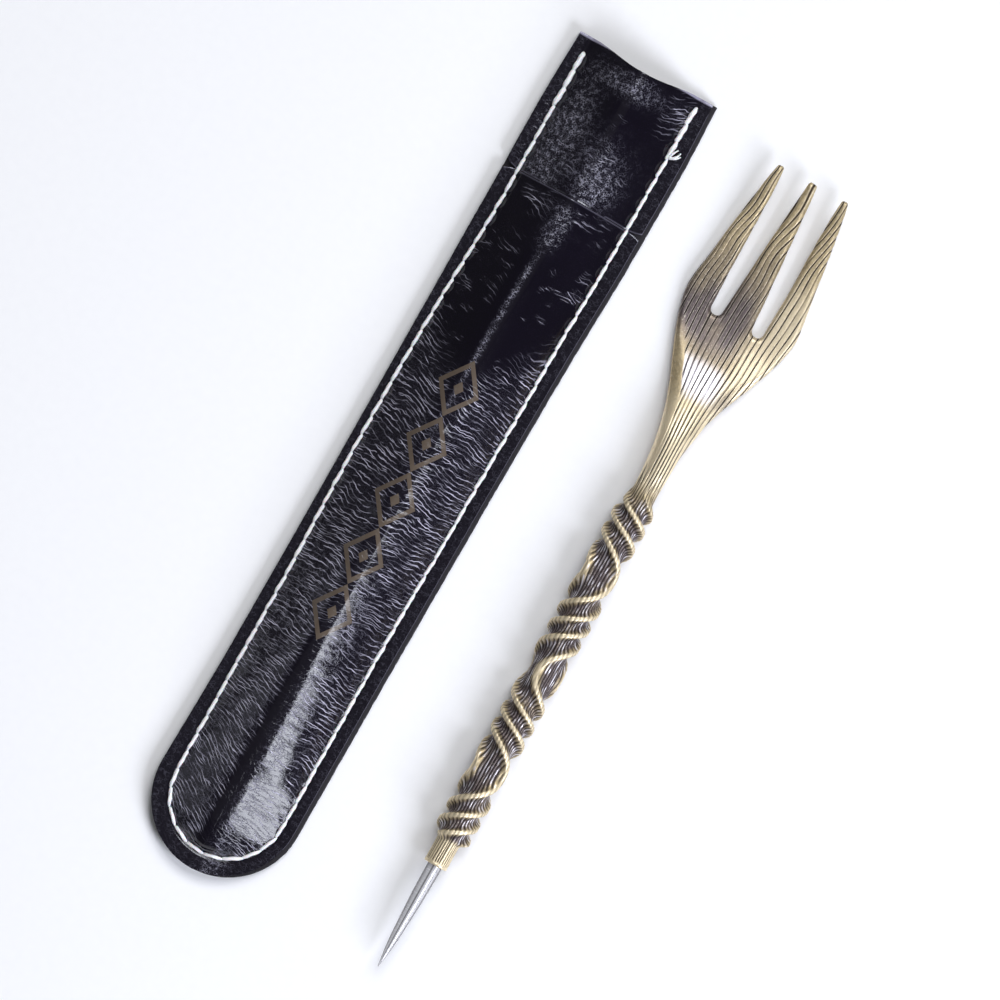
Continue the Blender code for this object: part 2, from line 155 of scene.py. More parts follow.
def hashed(*cells):
    """An even spread of numbers from 0 to 1, one for each set of whole numbers."""
    mixed = np.zeros(np.broadcast(*cells).shape, np.uint64)
    for cell, prime in zip(cells, (73856093, 19349663, 83492791)):
        mixed ^= np.asarray(cell, np.int64).astype(np.uint64) * np.uint64(prime)
    mixed ^= mixed >> np.uint64(13)
    mixed *= np.uint64(0x9E3779B97F4A7C15)
    mixed ^= mixed >> np.uint64(29)
    return (mixed & np.uint64(0xFFFFFF)).astype(float) / 0xFFFFFF


def noise(x, y, seed=0):
    """Smooth noise from 0 to 1 on a unit grid."""
    x, y = np.broadcast_arrays(np.asarray(x, float), np.asarray(y, float))
    ix, iy = np.floor(x).astype(np.int64), np.floor(y).astype(np.int64)
    fx, fy = ease(0, 1, x - ix), ease(0, 1, y - iy)
    seeds = np.full_like(ix, seed)
    low = mix(hashed(ix, iy, seeds), hashed(ix + 1, iy, seeds), fx)
    high = mix(hashed(ix, iy + 1, seeds), hashed(ix + 1, iy + 1, seeds), fx)
    return mix(low, high, fy)


def layered(x, y, seed=0, layers=3):
    """Smooth noise with finer and weaker layers on top, from 0 to 1."""
    total, weight = 0, 0
    for layer in range(layers):
        total = total + noise(x * 2**layer, y * 2**layer, seed + 17 * layer) / 2**layer
        weight += 1 / 2**layer
    return total / weight


# -------- meshes


def grid_faces(rows, columns, start, flip):
    """Quads of a grid whose points are numbered row by row from start."""
    i, j = np.meshgrid(np.arange(rows - 1), np.arange(columns - 1), indexing="ij")
    a = start + i * columns + j
    quads = np.stack([a, a + 1, a + columns + 1, a + columns], axis=-1).reshape(-1, 4)
    return quads[:, ::-1] if flip else quads


def linked(name, data):
    """A new object of this name in the scene."""
    made = bpy.data.objects.new(name, data)
    bpy.context.scene.collection.objects.link(made)
    return made


class Shape:
    """Collects grids of points and makes them one welded mesh object."""

    def __init__(self):
        self.points, self.faces, self.count = [], [], 0

    def grid(self, points, flip=False):
        """points is an array of rows x columns x 3, in metres."""
        rows, columns = points.shape[:2]
        self.faces.append(grid_faces(rows, columns, self.count, flip))
        self.points.append(points.reshape(-1, 3))
        self.count += rows * columns

    def make(self, name, weld=2e-6):
        points, quads = np.concatenate(self.points), np.concatenate(self.faces)
        mesh = bpy.data.meshes.new(name)
        mesh.from_pydata(points.tolist(), [], quads.tolist())
        shape = bmesh.new()
        shape.from_mesh(mesh)
        bmesh.ops.remove_doubles(shape, verts=shape.verts, dist=weld)
        bmesh.ops.recalc_face_normals(shape, faces=shape.faces)
        shape.to_mesh(mesh)
        shape.free()
        mesh.shade_smooth()
        return linked(name, mesh)


def points_of(made, what="co"):
    found = np.empty(len(made.data.vertices) * 3)
    made.data.vertices.foreach_get(what, found)
    return found.reshape(-1, 3)


def move_points(made, points):
    made.data.vertices.foreach_set("co", points.reshape(-1))
    made.data.update()


def keep_values(made, **values):
    """Numbers for each point, which the piece's material reads by their names."""
    for name, numbers in values.items():
        kept = made.data.attributes.new(name, "FLOAT", "POINT")
        kept.data.foreach_set("value", np.asarray(numbers, np.float32))


# -------- materials


NOISE_ROUGHNESS = 0.55


class Nodes:
    """A short way to write a material's node tree."""

    def __init__(self, name):
        self.material = bpy.data.materials.new(name)
        self.material.use_nodes = True
        self.tree = self.material.node_tree
        self.shader = self.tree.nodes["Principled BSDF"]

    def put(self, target, value):
        if isinstance(value, bpy.types.NodeSocket):
            self.tree.links.new(value, target)
        else:
            target.default_value = value

    def add(self, kind, settings=(), out=0, **inputs):
        node = self.tree.nodes.new(kind)
        for key, value in dict(settings).items():
            setattr(node, key, value)
        for key, value in inputs.items():
            place = int(key[1:]) if key[0] == "i" and key[1:].isdigit() else key.replace("_", " ")
            self.put(node.inputs[place], value)
        return node.outputs[out]

    def value(self, name):
        return self.add("ShaderNodeAttribute", {"attribute_name": name}, out=2)

    def place(self, scale):
        """The point's place in the piece, in units of this many metres along X, Y and Z."""
        where = self.add("ShaderNodeTexCoord", out=3)
        return self.add("ShaderNodeMapping", i0=where, Scale=tuple(1 / s for s in scale))

    def noise(self, scale, detail=3.0, warp=0.0):
        """Noise whose grains are about this many metres long along X, Y and Z."""
        return self.add("ShaderNodeTexNoise", Vector=self.place(scale), Scale=1.0, Detail=detail,
                        Roughness=NOISE_ROUGHNESS, Distortion=warp)

    def math(self, operation, a, b=0.0, clamp=False):
        return self.add("ShaderNodeMath", {"operation": operation, "use_clamp": clamp}, i0=a, i1=b)

    def times(self, a, b):
        return self.math("MULTIPLY", a, b)

    def ramp(self, value, stops):
        """A grey for each value, straight between (value, grey) stops."""
        node = self.tree.nodes.new("ShaderNodeValToRGB")
        band = node.color_ramp.elements
        while len(band) < len(stops):
            band.new(0.5)
        for element, (place, grey) in zip(band, stops):
            element.position, element.color = place, (grey, grey, grey, 1)
        self.put(node.inputs[0], value)
        return node.outputs[0]

    def blend(self, share, a, b, kind="MIX"):
        node = self.tree.nodes.new("ShaderNodeMix")
        node.data_type, node.blend_type = "RGBA", kind
        self.put(node.inputs[0], share)
        for socket, value in ((node.inputs[6], a), (node.inputs[7], b)):
            self.put(socket, (*value, 1) if isinstance(value, tuple) else value)
        return node.outputs[2]

    def bump(self, height, distance, strength, **below):
        return self.add("ShaderNodeBump", Height=height, Distance=distance, Strength=strength, **below)

    def finish(self, **inputs):
        for key, value in inputs.items():
            self.put(self.shader.inputs[key.replace("_", " ")], value)
        return self.material


# Colours, in pairs where the noise runs from one to the other.
KHAKI_BRASS = (0.48, 0.38, 0.215), (0.62, 0.5, 0.295)
RUBBED_GOLD = (0.83, 0.69, 0.45), (0.93, 0.8, 0.56)
PATINA_BROWN = (0.066, 0.05, 0.048), (0.2, 0.163, 0.163)
# Dark specks, and bright specks that are painted glints.
DARK_SPECK, PAINTED_GLINT_SPECK = (0.2, 0.155, 0.11), (0.95, 0.88, 0.7)
# Painted highlights: a pale lavender zone for the neck, and pale streaks for the handle's ridges.
PAINTED_HIGHLIGHT_ZONE, PAINTED_STREAK_HIGHLIGHT = (0.9, 0.87, 0.94), (0.95, 0.91, 0.96)
# A painted highlight for the grooves' lips, then the grooves' own dark.
GROOVE_LIP_HIGHLIGHT, GROOVE_DARK = (0.95, 0.86, 0.68), (0.022, 0.014, 0.014)
STEEL = (0.94, 0.93, 0.96), (1.0, 0.99, 1.0)
BLACK_GLAZE = (0.0019, 0.001, 0.0042), (0.0038, 0.0024, 0.0076)
# Pale cracks that are partly painted glints, pale grain specks that are painted sheen, and cut edges whose
# rims carry a painted highlight.
CRACK_PALE_AND_GLINT, GRAIN_PAINTED_SHEEN, EDGE_PALE_AND_HIGHLIGHT = (0.7, 0.68, 0.84), (0.52, 0.51, 0.64), (0.36, 0.345, 0.45)
PRINTED_BRONZE = (0.105, 0.08, 0.06)
FLESH_SIDE, FLESH_CLOUD = ((0.004, 0.003, 0.005), (0.022, 0.019, 0.024)), (0.012, 0.01, 0.013)
THREAD_WHITE = (0.84, 0.83, 0.84), (0.98, 0.97, 0.97)
PAPER_WHITE = (0.9, 0.9, 0.905), (0.93, 0.93, 0.93)

# The needle's painted reflections, lighter and darker bands by the angle round it, as a share of a turn:
# 0.25 is its left side, 0.5 its top.
PAINTED_REFLECTION_BANDS = (
    (0.25, 0.24), (0.345, 0.3), (0.37, 0.72), (0.45, 0.76), (0.463, 0.2), (0.482, 0.2), (0.5, 0.66),
    (0.56, 0.6), (0.572, 0.14), (0.588, 0.14), (0.6, 0.66), (0.635, 0.6), (0.66, 0.18), (0.75, 0.14),
)

# The printed ornament, in mm.
CHAIN_BEGINS_T, LOZENGE_LENGTH, LOZENGE_COUNT = 68.0, 12.8, 5
CHAIN_MIDDLE_X, LOZENGE_HALF_WIDTH, LOZENGE_LINE = -0.3, 4.6, 0.24

# The pale cut edge shows at the mouth beyond this far from the middle, in mm.
MOUTH_EDGE_FROM_X = 7.4


def antique_brass():
    """Brass: gold where rubbed, khaki on the tines, brown in the hollows, dark in the grooves, and painted
    highlights: a pale neck, pale streaks on the handle, bright specks and pale lips by the grooves.
    """
    n = Nodes("antique_brass")
    flow, along = n.value("flow"), n.value("along")
    line = n.math("ROUND", flow)
    off_line = n.times(n.math("ABSOLUTE", n.math("SUBTRACT", flow, line)), n.value("pitch"))
    which = n.add("ShaderNodeCombineXYZ", i0=n.times(line, 3.7), i1=n.times(along, 0.11), i2=0.0)
    uneven = n.add("ShaderNodeTexNoise", Vector=which, Scale=1.0, Detail=1.0)
    engraved = n.times(n.value("engraved"), n.ramp(uneven, ((0.3, 0.35), (0.5, 1.0))))
    # Painted highlight: a pale line along each side of an engraved groove.
    lip_highlight = n.times(n.ramp(off_line, ((0.12, 0.0), (0.2, 1.0), (0.3, 0.0))), engraved)
    head_groove = n.times(n.ramp(off_line, ((0.07, 1.0), (0.17, 0.0))), engraved)
    groove = n.math("MAXIMUM", head_groove, n.value("groove"))

    clouds = n.noise((0.006, 0.009, 0.006), detail=4)
    specks = n.noise((0.0005, 0.0007, 0.0005), detail=3)
    dark_specks = n.ramp(specks, ((0.38, 1.0), (0.55, 0.0)))
    # Painted glints: bright specks scattered over the metal.
    glint_specks = n.ramp(n.noise((0.00035, 0.0004, 0.00035), detail=2), ((0.6, 0.0), (0.7, 1.0)))
    khaki = n.blend(n.times(dark_specks, 0.35), n.blend(clouds, *KHAKI_BRASS), DARK_SPECK)
    base = n.blend(n.value("worn"), khaki, n.blend(clouds, *RUBBED_GOLD))
    base = n.blend(n.value("patina"), base, n.blend(specks, *PATINA_BROWN))
    # Painted highlight: a pale lavender zone across the neck.
    base = n.blend(n.times(n.value("pale"), 0.95), base, PAINTED_HIGHLIGHT_ZONE)
    # Painted highlight: pale streaks along the handle's ridges.
    base = n.blend(n.times(n.value("streak"), 0.9), base, PAINTED_STREAK_HIGHLIGHT)
    # The painted glints in bright specks.
    base = n.blend(n.times(glint_specks, 0.3), base, PAINTED_GLINT_SPECK)
    # The painted highlight beside the grooves.
    base = n.blend(n.times(lip_highlight, 0.35), base, GROOVE_LIP_HIGHLIGHT)
    base = n.blend(n.times(groove, 0.94), base, GROOVE_DARK)
    rough = n.math("ADD", n.times(specks, 0.22), 0.3)
    rough = n.math("ADD", rough, n.times(groove, 0.3), clamp=True)
    normal = n.bump(n.times(head_groove, -1.0), 0.00012, 0.9)
    grain = n.noise((0.00022, 0.0006, 0.00022), detail=3)
    normal = n.bump(grain, 0.00004, 0.5, Normal=normal)
    return n.finish(Base_Color=base, Metallic=0.66, Roughness=rough, Normal=normal)


def ground_steel():
    """Ground steel with painted reflections: lengthwise bands of lighter and darker colour."""
    n = Nodes("ground_steel")
    rings = n.noise((0.004, 0.00012, 0.004), detail=3)
    smudge = n.noise((0.003, 0.006, 0.003))
    # Painted reflections: lengthwise light and dark bands round the needle.
    base = n.blend(1.0, n.blend(smudge, *STEEL), n.ramp(n.value("around"), PAINTED_REFLECTION_BANDS), "MULTIPLY")
    rough = n.math("ADD", n.times(rings, 0.12), 0.2)
    return n.finish(Base_Color=base, Metallic=0.35, Roughness=rough, Normal=n.bump(rings, 0.00001, 0.4))


def flat_noise(n, a, b, seed, detail=0.0):
    where = n.add("ShaderNodeCombineXYZ", i0=a, i1=b, i2=seed)
    return n.add("ShaderNodeTexNoise", Vector=where, Scale=1.0, Detail=detail)


def crack_lines(n, across, flow, lean, gap, length, seed):
    """Broken wavy lines this far apart, in mm, which lean from the leather's own flow."""
    along = n.math("ADD", flow, n.times(across, lean))
    slow = flat_noise(n, n.times(across, 1 / 6.0), n.times(along, 1 / 10.0), seed + 2.0)
    quick = flat_noise(n, n.times(across, 1 / 1.5), n.times(along, 1 / 2.4), seed, 1.0)
    waver = n.math("ADD", n.times(slow, 3.2), n.times(quick, 0.9))
    phase = n.math("DIVIDE", n.math("ADD", along, waver), gap)
    line = n.math("FLOOR", phase)
    off_line = n.times(n.math("ABSOLUTE", n.math("SUBTRACT", n.math("FRACT", phase), 0.5)), gap)
    run = n.math("ADD", n.math("DIVIDE", across, length), n.times(line, 3.17))
    broken = n.ramp(flat_noise(n, run, n.times(line, 7.7), seed + 5.0, 1.0), ((0.43, 0.0), (0.54, 1.0)))
    return n.times(n.ramp(off_line, ((0.03, 1.0), (0.105, 0.0))), broken)


def black_leather(name, ornament):
    """Glazed leather: near black with a violet cast, fine pale cracks which are also painted glints, pale
    grain specks of painted sheen, and light cut edges whose rims carry a painted highlight.
    """
    n = Nodes(name)
    across, down, flow = n.value("across"), n.value("down"), n.value("flow")
    crackle, pebble = n.value("crackle"), n.value("pebble")
    finer = n.times(crack_lines(n, across, flow, 0.16, 1.05, 2.0, 9.0), 0.6)
    every = n.math("MAXIMUM", crack_lines(n, across, flow, 0.0, 0.95, 4.0, 0.0), finer)
    patches = n.ramp(n.noise((0.0045, 0.003, 0.0045), detail=2), ((0.4, 0.14), (0.59, 1.0)))
    # Crack lines: they shape the bump, and their colour is whitened crackle with painted glints.
    lines = n.times(n.times(every, crackle), patches)

    cells = n.add("ShaderNodeTexVoronoi", {"feature": "DISTANCE_TO_EDGE"}, Scale=1.0,
                  Vector=n.place((0.0006, 0.00048, 0.0005)))
    walls = n.ramp(cells, ((0.02, 1.0), (0.13, 0.0)))
    net = n.times(walls, n.ramp(n.noise((0.0011, 0.0009, 0.0011)), ((0.46, 0.0), (0.6, 1.0))))
    fine = n.noise((0.00025, 0.0002, 0.00025), detail=3)
    grit = n.ramp(fine, ((0.5, 0.0), (0.68, 1.0)))
    # The grain's specks: painted sheen in colour, and real grain in the bump.
    grain = n.times(n.math("MAXIMUM", net, n.times(grit, 0.4)), pebble)
    grain = n.math("MAXIMUM", grain, n.times(n.times(grit, crackle), 0.12))

    base = n.blend(n.noise((0.012, 0.02, 0.012), detail=3), *BLACK_GLAZE)
    # The cracks are pale as glazed leather's cracks whiten, and they are painted glints as well.
    base = n.blend(n.times(lines, 0.9), base, CRACK_PALE_AND_GLINT)
    # Painted sheen: pale grain specks.
    base = n.blend(n.times(grain, 0.6), base, GRAIN_PAINTED_SHEEN)
    if ornament:
        base = n.blend(chain_of_lozenges(n, across, down), base, PRINTED_BRONZE)
    at_corners = n.math("GREATER_THAN", n.math("ABSOLUTE", across), MOUTH_EDGE_FROM_X)
    mouth_edge = n.times(n.ramp(down, ((0.4, 1.0), (0.65, 0.0))), at_corners)
    # The rims carry a painted highlight; the mouth's corners show the pale cut edge.
    light = n.math("MAXIMUM", n.times(n.value("rim"), 0.45), n.times(mouth_edge, 0.8))
    base = n.blend(light, base, EDGE_PALE_AND_HIGHLIGHT)

    relief = n.times(n.times(every, n.value("relief")), 0.35)
    height = n.math("ADD", n.times(lines, 0.8), relief)
    height = n.math("SUBTRACT", height, n.times(n.times(net, pebble), 0.8))
    normal = n.bump(height, 0.00006, 0.9)
    normal = n.bump(fine, 0.00003, n.math("ADD", n.times(pebble, 0.3), 0.22), Normal=normal)
    rough = n.math("ADD", n.times(fine, 0.07), 0.05)
    return n.finish(Base_Color=base, Roughness=rough, Normal=normal, IOR=1.5, Specular_IOR_Level=0.5)


def chain_of_lozenges(n, across, down):
    """A plain printed ornament down the middle: outlined lozenges, each round a smaller one."""
    step = n.math("DIVIDE", n.math("SUBTRACT", down, CHAIN_BEGINS_T), LOZENGE_LENGTH)
    begun = n.math("GREATER_THAN", step, 0.0)
    within = n.times(begun, n.math("LESS_THAN", step, float(LOZENGE_COUNT)))
    beside = n.math("ABSOLUTE", n.math("SUBTRACT", across, CHAIN_MIDDLE_X))
    beside = n.math("DIVIDE", beside, LOZENGE_HALF_WIDTH)
    past = n.math("ABSOLUTE", n.times(n.math("SUBTRACT", n.math("FRACT", step), 0.5), 2.0))
    out = n.math("ADD", beside, past)
    ring = n.times(n.math("LESS_THAN", out, 1.0), n.math("GREATER_THAN", out, 1 - LOZENGE_LINE))
    heart = n.math("LESS_THAN", out, LOZENGE_LINE)
    return n.times(n.math("MAXIMUM", ring, heart), within)


def flesh_side():
    """The back's unglazed side: dark and fibrous."""
    n = Nodes("leather_flesh_side")
    fibre = n.noise((0.0002, 0.0012, 0.0004), detail=4, warp=0.6)
    cloud = n.noise((0.004, 0.006, 0.004))
    base = n.blend(n.times(cloud, 0.4), n.blend(fibre, *FLESH_SIDE), FLESH_CLOUD)
    return n.finish(Base_Color=base, Roughness=0.85, Normal=n.bump(fibre, 0.00015, 0.8), Sheen_Weight=0.04)


def white_thread():
    n = Nodes("white_thread")
    fibre = n.noise((0.00012, 0.0004, 0.00012), detail=3, warp=0.5)
    base = n.blend(fibre, *THREAD_WHITE)
    return n.finish(Base_Color=base, Roughness=0.6, Normal=n.bump(fibre, 0.00003, 0.5), Sheen_Weight=0.3,
                    Subsurface_Weight=0.15, Subsurface_Scale=0.0005)


def floor_paper():
    n = Nodes("floor_paper")
    tooth = n.noise((0.002, 0.002, 0.002), detail=2)
    base = n.blend(tooth, *PAPER_WHITE)
    return n.finish(Base_Color=base, Roughness=0.75, Normal=n.bump(tooth, 0.00002, 0.3))


# -------- the casting


def tool_points(s, x, z):
    s, x, z = np.broadcast_arrays(s, x, z)
    return np.stack([TOOL_X + (x + through(LEAN, s)) * MM, TIP_Y - s * MM, z * MM], axis=-1)


def tool_places(points):
    """(x, s, up) of points on the tool in mm, with x and up from its axis."""
    return (points[:, 0] - TOOL_X) / MM, (TIP_Y - points[:, 1]) / MM, (points[:, 2] - AXIS_Z) / MM


def band_edges(s):
    """(left, right) of the head's three bands at S, which are its tines and what they run into."""
    outer = through(OUTLINE, s)
    open_half = np.sqrt(np.maximum(SLOT_RADIUS**2 - (s - SLOT_END_S) ** 2, 0))
    narrowing = np.minimum(outer / through(OUTLINE, SLOT_END_S + SLOT_RADIUS), 1)
    tines = s < SLOT_END_S
    inner = np.where(tines, through(TINE_INNER, s), SLOT_X * narrowing + open_half)
    middle = np.where(tines, through(MIDDLE_TINE, s), SLOT_X * narrowing - open_half)
    return ((-outer, -inner), (-middle, middle), (inner, outer))


def to_edge(x, s):
    """How far a place on the head is from the nearest free edge."""
    aside = np.abs(x)
    beside = np.where(aside > SLOT_X, aside - through(TINE_INNER, s), through(MIDDLE_TINE, s) - aside)
    past = np.hypot(aside - SLOT_X, s - SLOT_END_S) - SLOT_RADIUS
    slots = np.where(s < SLOT_END_S, beside, past)
    return np.maximum(np.minimum(np.minimum(through(OUTLINE, s) - aside, s), slots), 0)


def head_band(band, side, s):
    """The points of one band of the head's upper (side 1) or lower (side -1) surface."""
    shares = np.arange(BAND_COLUMNS + 1) / BAND_COLUMNS
    shares = mix(shares, (1 - np.cos(PI * shares)) / 2, TO_BORDERS)
    s = s[:, None]
    left, right = band_edges(s)[band]
    outer = through(OUTLINE, s)
    angle = PI * ((band * BAND_COLUMNS + np.arange(BAND_COLUMNS + 1)) / (3 * BAND_COLUMNS) - 0.5)
    x = mix(mix(left, right, shares), outer * np.sin(angle), ease(PLATE_END_S, NECK_ROUND_S, s))
    rounding = mix(EDGE_RADIUS, outer, ease(EDGE_GROWS_S, EDGE_GROWN_S, s))
    share = np.minimum(to_edge(x, s) / rounding, 1)
    half_thickness = mix(through(HALF_THICKNESS, s), outer, ease(EDGE_GROWN_S, STEM_S, s))
    z = through(MIDDLE_Z, s) + side * half_thickness * np.sqrt(1 - (1 - share) ** 2)
    off_middle = np.abs(2 * shares - 1)
    rounded = TIP_ROUNDING * (1 - np.sqrt(1 - off_middle**4)) * np.maximum(1 - s / TIP_ROUNDS_OVER, 0)
    return tool_points(s + rounded, x, z)


def head_rows():
    """The S of the head's rows of points, closest at the tips and the slots' ends."""
    slot_end = SLOT_END_S + SLOT_RADIUS * np.sin(np.radians(SLOT_ROW_ANGLES))
    past = slot_end[-1] + np.array(ROWS_PAST_SLOT)
    tines = np.linspace(TIP_ROWS[-1], SLOT_END_S, round((SLOT_END_S - TIP_ROWS[-1]) / HEAD_ROW))[1:-1]
    neck = np.linspace(past[-1], STEM_S, round((STEM_S - past[-1]) / HEAD_ROW))[1:]
    return np.array([*TIP_ROWS, *tines, *slot_end, *past, *neck])


def twist(s):
    """The angle in degrees of the first rib's crest at S."""
    return TWIST_MIDDLE + TWIST_SWING * np.cos(PI * (s - TWIST_REVERSAL_S) / TWIST_HALF_WAVE)


def off_rib(angle, s):
    """(share of the way from a rib's flat crest to the valley's bottom, the ribs' height from 0 to 1)."""
    wave = PI / TWIST_HALF_WAVE
    turn_rate = math.radians(TWIST_SWING) * wave * np.sin(wave * (s - TWIST_REVERSAL_S))
    flat = np.degrees(CREST_HALF_WIDTH * np.hypot(1, CREST_RADIUS * turn_rate) / CREST_RADIUS)
    to_valley = 180 / RIB_COUNT
    from_crest = np.abs((angle - twist(s) + to_valley) % (2 * to_valley) - to_valley)
    share = np.clip((from_crest - flat) / (to_valley - flat), 0, 1)
    return share, between(RIBS_BEGIN_S, RIBS_FULL_S, RIBS_END_S, FERRULE_S, s)


def handle_radius(angle, s):
    share, ribbed = off_rib(angle, s)
    stem = mix(through(OUTLINE, s), FERRULE_RADIUS, ease(RIBS_END_S, FERRULE_S, s))
    return mix(stem, mix(VALLEY_RADIUS, CREST_RADIUS, (1 - share) ** VALLEY_FULLNESS), ribbed)


def handle_points(s, radius):
    """Rings around the axis, which start at the left and go over the top."""
    count = 6 * BAND_COLUMNS
    angle = -90 + 360 * np.arange(count + 1) / count
    angle[-1] = angle[0] + 360
    radians = np.radians(angle)
    s = np.asarray(s, float)[:, None]
    reach = radius(angle[None, :], s) * np.ones_like(s)
    return tool_points(s, reach * np.sin(radians), AXIS_Z / MM + reach * np.cos(radians))


def head_flow(x, s):
    """(the engraved line that a place on the head is at, the lines' pitch). Whole numbers are on a line."""
    pitch = through(LINE_PITCH, s)
    side = ease(-7, 8, x)
    drift = through(LINE_DRIFT, s) * mix(0.45, 1.35, side)
    bend = np.sin(2 * PI * s / mix(LEFT_WAVE, RIGHT_WAVE, side) + 2.6 * side + 0.9)
    bend = LINE_BEND * bend * (1 - ease(15, 29, s))
    wander = LINE_WANDER * (layered(x / 3.2, s / 12, 3, 2) - 0.5) * mix(1, 0.5, ease(30, 40, s))
    return (x - drift + bend + wander) / pitch + 0.5, pitch


def plain_share(x, s):
    """The smooth bevel down the left of the neck, which has no lines: 1 on it."""
    bevel = -through(BEVEL_EDGE, s)
    return (1 - ease(bevel - 0.1, bevel + 0.3, x)) * between(33, 37, 64, 68, s)


def handle_lines(angle, s):
    """Depth from 0 to 1 of the lines engraved along the handle."""
    gap = 360 / LINES_ROUND
    nearest = np.round(angle / gap)
    depth = np.zeros_like(angle)
    for step in (-1, 0, 1):
        line = nearest + step
        which = line % LINES_ROUND
        sway = LINE_SWAY * (noise(s / 6.5, which * 2.3, 11) - 0.5)
        scatter = LINE_SCATTER * (hashed(which, 0, 3) - 0.5)
        off_line = np.radians(angle - (line * gap + sway + scatter)) * LINE_RADIUS
        strength = 0.55 + 0.45 * noise(which * 4.1, s / 5, 12)
        depth = np.maximum(depth, strength * bell(off_line, 0, HANDLE_LINE_WIDTH))
    return depth


def streaks(angle, s):
    """Painted highlights: short pale streaks, from 0 to 1, along the ridges between the handle's lines."""
    place = angle / (360 / LINES_ROUND)
    ridge = np.floor(place)
    off_ridge = np.abs(place - ridge - 0.5)
    which = ridge % LINES_ROUND
    lengths = noise(s / 1.1 + 7.3 * which, which * 1.7, 81)
    return ease(0.42, 0.78, lengths) * (1 - ease(0.05, 0.26, off_ridge))


def head_shade(x, s):
    """The brown patina across the tines' roots and the shoulder, from 0 to 1."""
    begins = SHADE_BEGINS_S + SHADE_SAGS * x**2
    ends = through(SHADE_ENDS, x)
    shade = 0.5 * ease(begins - 17, begins - 3, s) + 0.5 * ease(begins - 7, begins + 6, s)
    shade *= (1 - ease(ends - 6, ends + 3, s)) * (1 - 0.85 * ease(0.5, 5.5, x))
    return np.maximum(shade, 0.55 * bell(x, 5.6, 1.5) * bell(s, 47.5, 3.6))


def make_fork():
    """The casting: a smooth welded mesh, its lines pressed in, and values for its patina and its painted
    highlights.
    """
    shape = Shape()
    rows = head_rows()
    for band in range(3):
        shape.grid(head_band(band, 1, rows))
        shape.grid(head_band(band, -1, rows), flip=True)
    lip_s = np.array([FERRULE_END_S - before for before, _ in FERRULE_LIP])
    lip_radius = np.array([FERRULE_RADIUS + more for _, more in FERRULE_LIP])[:, None]
    handle_rows = np.linspace(STEM_S, lip_s[0], round((lip_s[0] - STEM_S) / HANDLE_ROW))
    shape.grid(handle_points(handle_rows, handle_radius))
    shape.grid(handle_points(lip_s, lambda angle, s: lip_radius + 0 * angle))
    made = shape.make("fork_body")

    points, normals = points_of(made), points_of(made, "normal")
    x, s, up = tool_places(points)
    angle = np.degrees(np.arctan2(x, up))
    share, ribbed = off_rib(angle, s)
    x = x - through(LEAN, s)
    on_head = 1 - ease(68, 72, s)
    on_handle = between(66, 71, FERRULE_END_S - 0.9, FERRULE_END_S - 0.6, s)
    in_socket = (s > FERRULE_END_S - SOCKET_SHOWN - 0.5) & (np.hypot(x, up) < SOCKET_RADIUS + 0.1)
    on_handle = np.where(in_socket, 0, on_handle)
    crest = ribbed * (1 - ease(0, 0.12, share))
    flow, pitch = head_flow(x, s)
    off_line = np.abs(flow - np.round(flow)) * pitch
    lined = on_head * (1 - plain_share(x, s))
    head_groove = bell(off_line, 0, HEAD_LINE_WIDTH) * lined
    handle_groove = handle_lines(angle, s) * on_handle * (1 - 0.55 * crest)
    swell = CAST_SWELL * (noise(x / 1.2, s / 5, 21) - 0.5) * (1 - crest)
    raised = swell - HEAD_LINE_DEPTH * head_groove - HANDLE_LINE_DEPTH * handle_groove
    move_points(made, points + normals * (raised * MM)[:, None])

    valley = ribbed * ease(0.12, 0.4, share)
    blotch = 0.75 + 0.5 * noise(x / 2.5, s / 3.5, 31)
    rubbed = ease(46, 56, s) * on_head + 0.8 * ease(1, 6, x) * ease(14, 26, s) * on_head + crest
    # Where the painted highlight lies on the neck.
    neck_highlight = between(40.5, 44.5, 46.5, 51, s) * (1 - ease(1.5, 5, x))
    keep_values(
        made, pitch=pitch, along=s, engraved=lined,
        flow=np.where(on_head > 0, flow, 0),
        groove=np.clip(1.35 * handle_groove, 0, 1),
        patina=np.clip((head_shade(x, s) * on_head + valley) * blotch, 0, 1),
        # The painted highlight in streaks on the handle's ridges.
        streak=np.clip(streaks(angle, s) * on_handle * (1 - crest) * ribbed, 0, 1),
        worn=np.clip(rubbed + 0.9 * ease(RIBS_END_S - 0.3, FERRULE_S + 0.4, s), 0, 1),
        # The neck's painted highlight.
        pale=np.clip(neck_highlight * lined, 0, 1),
    )
    made.data.materials.append(antique_brass())
    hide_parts("fork_casting")
    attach(made, "tool")


def make_needle():
    """The needle's shank and taper, turned with faint grinding marks."""
    shares = np.linspace(NEEDLE_HIDDEN, 1, NEEDLE_ROWS)
    s = FERRULE_END_S + shares * (TOOL_LENGTH - FERRULE_END_S)
    radius = through(NEEDLE_TAPER, shares) * (1 + 0.004 * (noise(s / 0.4, 0, 41) - 0.5))
    turns = np.radians(np.linspace(0, 360, NEEDLE_SIDES + 1))
    turns[-1] = turns[0]
    across, up = radius[:, None] * np.sin(turns), radius[:, None] * np.cos(turns)
    grid = tool_points(s[:, None], across, AXIS_Z / MM + up)
    shape = Shape()
    shape.grid(grid)
    for row, at in ((0, s[0]), (-1, s[-1] + NEEDLE_END)):
        middle = np.broadcast_to(tool_points(at, 0, AXIS_Z / MM), grid[row].shape)
        shape.grid(np.stack([grid[row], middle]), flip=row == 0)
    made = shape.make("needle_point")
    x, s, up = tool_places(points_of(made))
    keep_values(made, around=0.5 + np.arctan2(x - through(LEAN, s), up) / (2 * PI))
    made.data.materials.append(ground_steel())
    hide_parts("needle")
    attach(made, "tool")


# -------- the sheath

